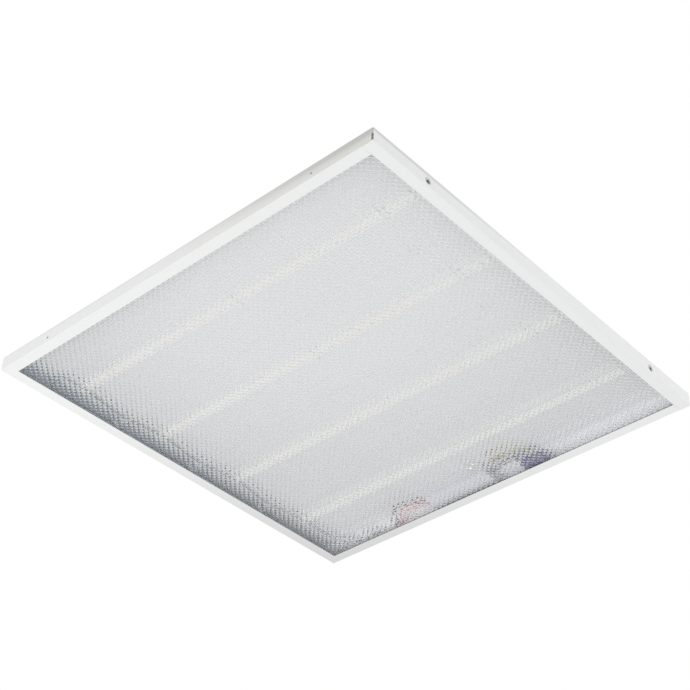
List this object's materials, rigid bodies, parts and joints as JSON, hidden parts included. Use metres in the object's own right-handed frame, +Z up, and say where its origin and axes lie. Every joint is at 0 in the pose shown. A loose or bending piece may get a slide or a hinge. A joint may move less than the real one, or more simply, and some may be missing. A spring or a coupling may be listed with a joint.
{
  "type": "recessed troffer light",
  "caption": "Square lay-in ceiling light: shallow folded tray with a removable end strip, a sliding prismatic sheet, light strips, driver, terminal block and wiring inside.",
  "frame": {"origin": "middle of the rim face that rests on the ceiling grid, at the bottom of the bounding box", "axes": "+Z up towards the back plate, so light leaves along -Z; +X along the light strips towards the removable end strip; +Y towards the driver"},
  "size_m": [0.595, 0.595, 0.019],
  "materials": {
    "housing_white": "satin white powder coat",
    "screw_steel": "zinc plated",
    "diffuser_prism": "milky clear, pyramid prisms on the outer face",
    "strip_board": "white solder mask on aluminium",
    "chip_resin": "yellow resin",
    "connector_white": "moulded",
    "clip_white": "moulded",
    "driver_case": "fine spark texture",
    "board_green": "solder mask",
    "ferrite": "sintered core with taped winding",
    "capacitor_sleeve": "shrunk sleeve",
    "terminal_body": "moulded",
    "terminal_button": "moulded",
    "clamp_steel": "spring steel",
    "grommet_rubber": "soft matt",
    "lug_brass": "dull",
    "lead_black": "wire insulation",
    "lead_red": "wire insulation",
    "lead_grey": "wire insulation",
    "lead_brown": "wire insulation",
    "lead_blue": "wire insulation",
    "lead_green_yellow": "wire insulation, green with a yellow stripe"
  },
  "bodies": {
    "tray": {"cable_grommet": "grommet_rubber", "driver_base": "driver_case", "driver_board": "board_green", "driver_capacitors": "capacitor_sleeve", "driver_cover": "driver_case", "driver_lead_black": "lead_black", "driver_lead_red": "lead_red", "driver_transformer": "ferrite", "earth_lead": "lead_green_yellow", "earth_lug": "lug_brass", "earth_screw": "lug_brass", "earth_washer": "screw_steel", "feed_lead": "lead_grey", "housing_tray": "housing_white", "jumper_lead_1": "lead_grey", "jumper_lead_2": "lead_grey", "jumper_lead_3": "lead_grey", "lead_plug": "connector_white", "lead_saddles": "clip_white", "lead_socket": "connector_white", "led_chips_1": "chip_resin", "led_chips_2": "chip_resin", "led_chips_3": "chip_resin", "led_chips_4": "chip_resin", "led_strip_1": "strip_board", "led_strip_2": "strip_board", "led_strip_3": "strip_board", "led_strip_4": "strip_board", "mains_lead_blue": "lead_blue", "mains_lead_brown": "lead_brown", "return_lead": "lead_black", "strip_clips": "clip_white", "strip_connector_1": "connector_white", "strip_connector_2": "connector_white", "strip_connector_3": "connector_white", "strip_connector_4": "connector_white", "terminal_block": "terminal_body", "terminal_clamps": "clamp_steel"},
    "diffuser": {"diffuser": "diffuser_prism"},
    "end_strip": {"end_strip": "housing_white", "end_strip_screws": "screw_steel"},
    "button_1": {"terminal_button_1": "terminal_button"},
    "button_2": {"terminal_button_2": "terminal_button"},
    "button_3": {"terminal_button_3": "terminal_button"}
  },
  "joints": [
    {"name": "diffuser_slide", "type": "slide", "parent": "tray", "child": "diffuser", "axis": [1, 0, 0], "range_m": [0, 0.57]},
    {"name": "end_strip_draw", "type": "slide", "parent": "tray", "child": "end_strip", "axis": [1, 0, 0], "range_m": [0, 0.605]},
    {"name": "button_1_press", "type": "slide", "parent": "tray", "child": "button_1", "axis": [0, 0, 1], "range_m": [0, 0.0012], "stiffness_N_per_m": 800, "springref_m": -0.0005},
    {"name": "button_2_press", "type": "slide", "parent": "tray", "child": "button_2", "axis": [0, 0, 1], "range_m": [0, 0.0012], "stiffness_N_per_m": 800, "springref_m": -0.0005},
    {"name": "button_3_press", "type": "slide", "parent": "tray", "child": "button_3", "axis": [0, 0, 1], "range_m": [0, 0.0012], "stiffness_N_per_m": 800, "springref_m": -0.0005}
  ],
  "couplings": [
    {"joint": "end_strip_draw", "follows": "diffuser_slide", "ratio": 1.05}
  ]
}
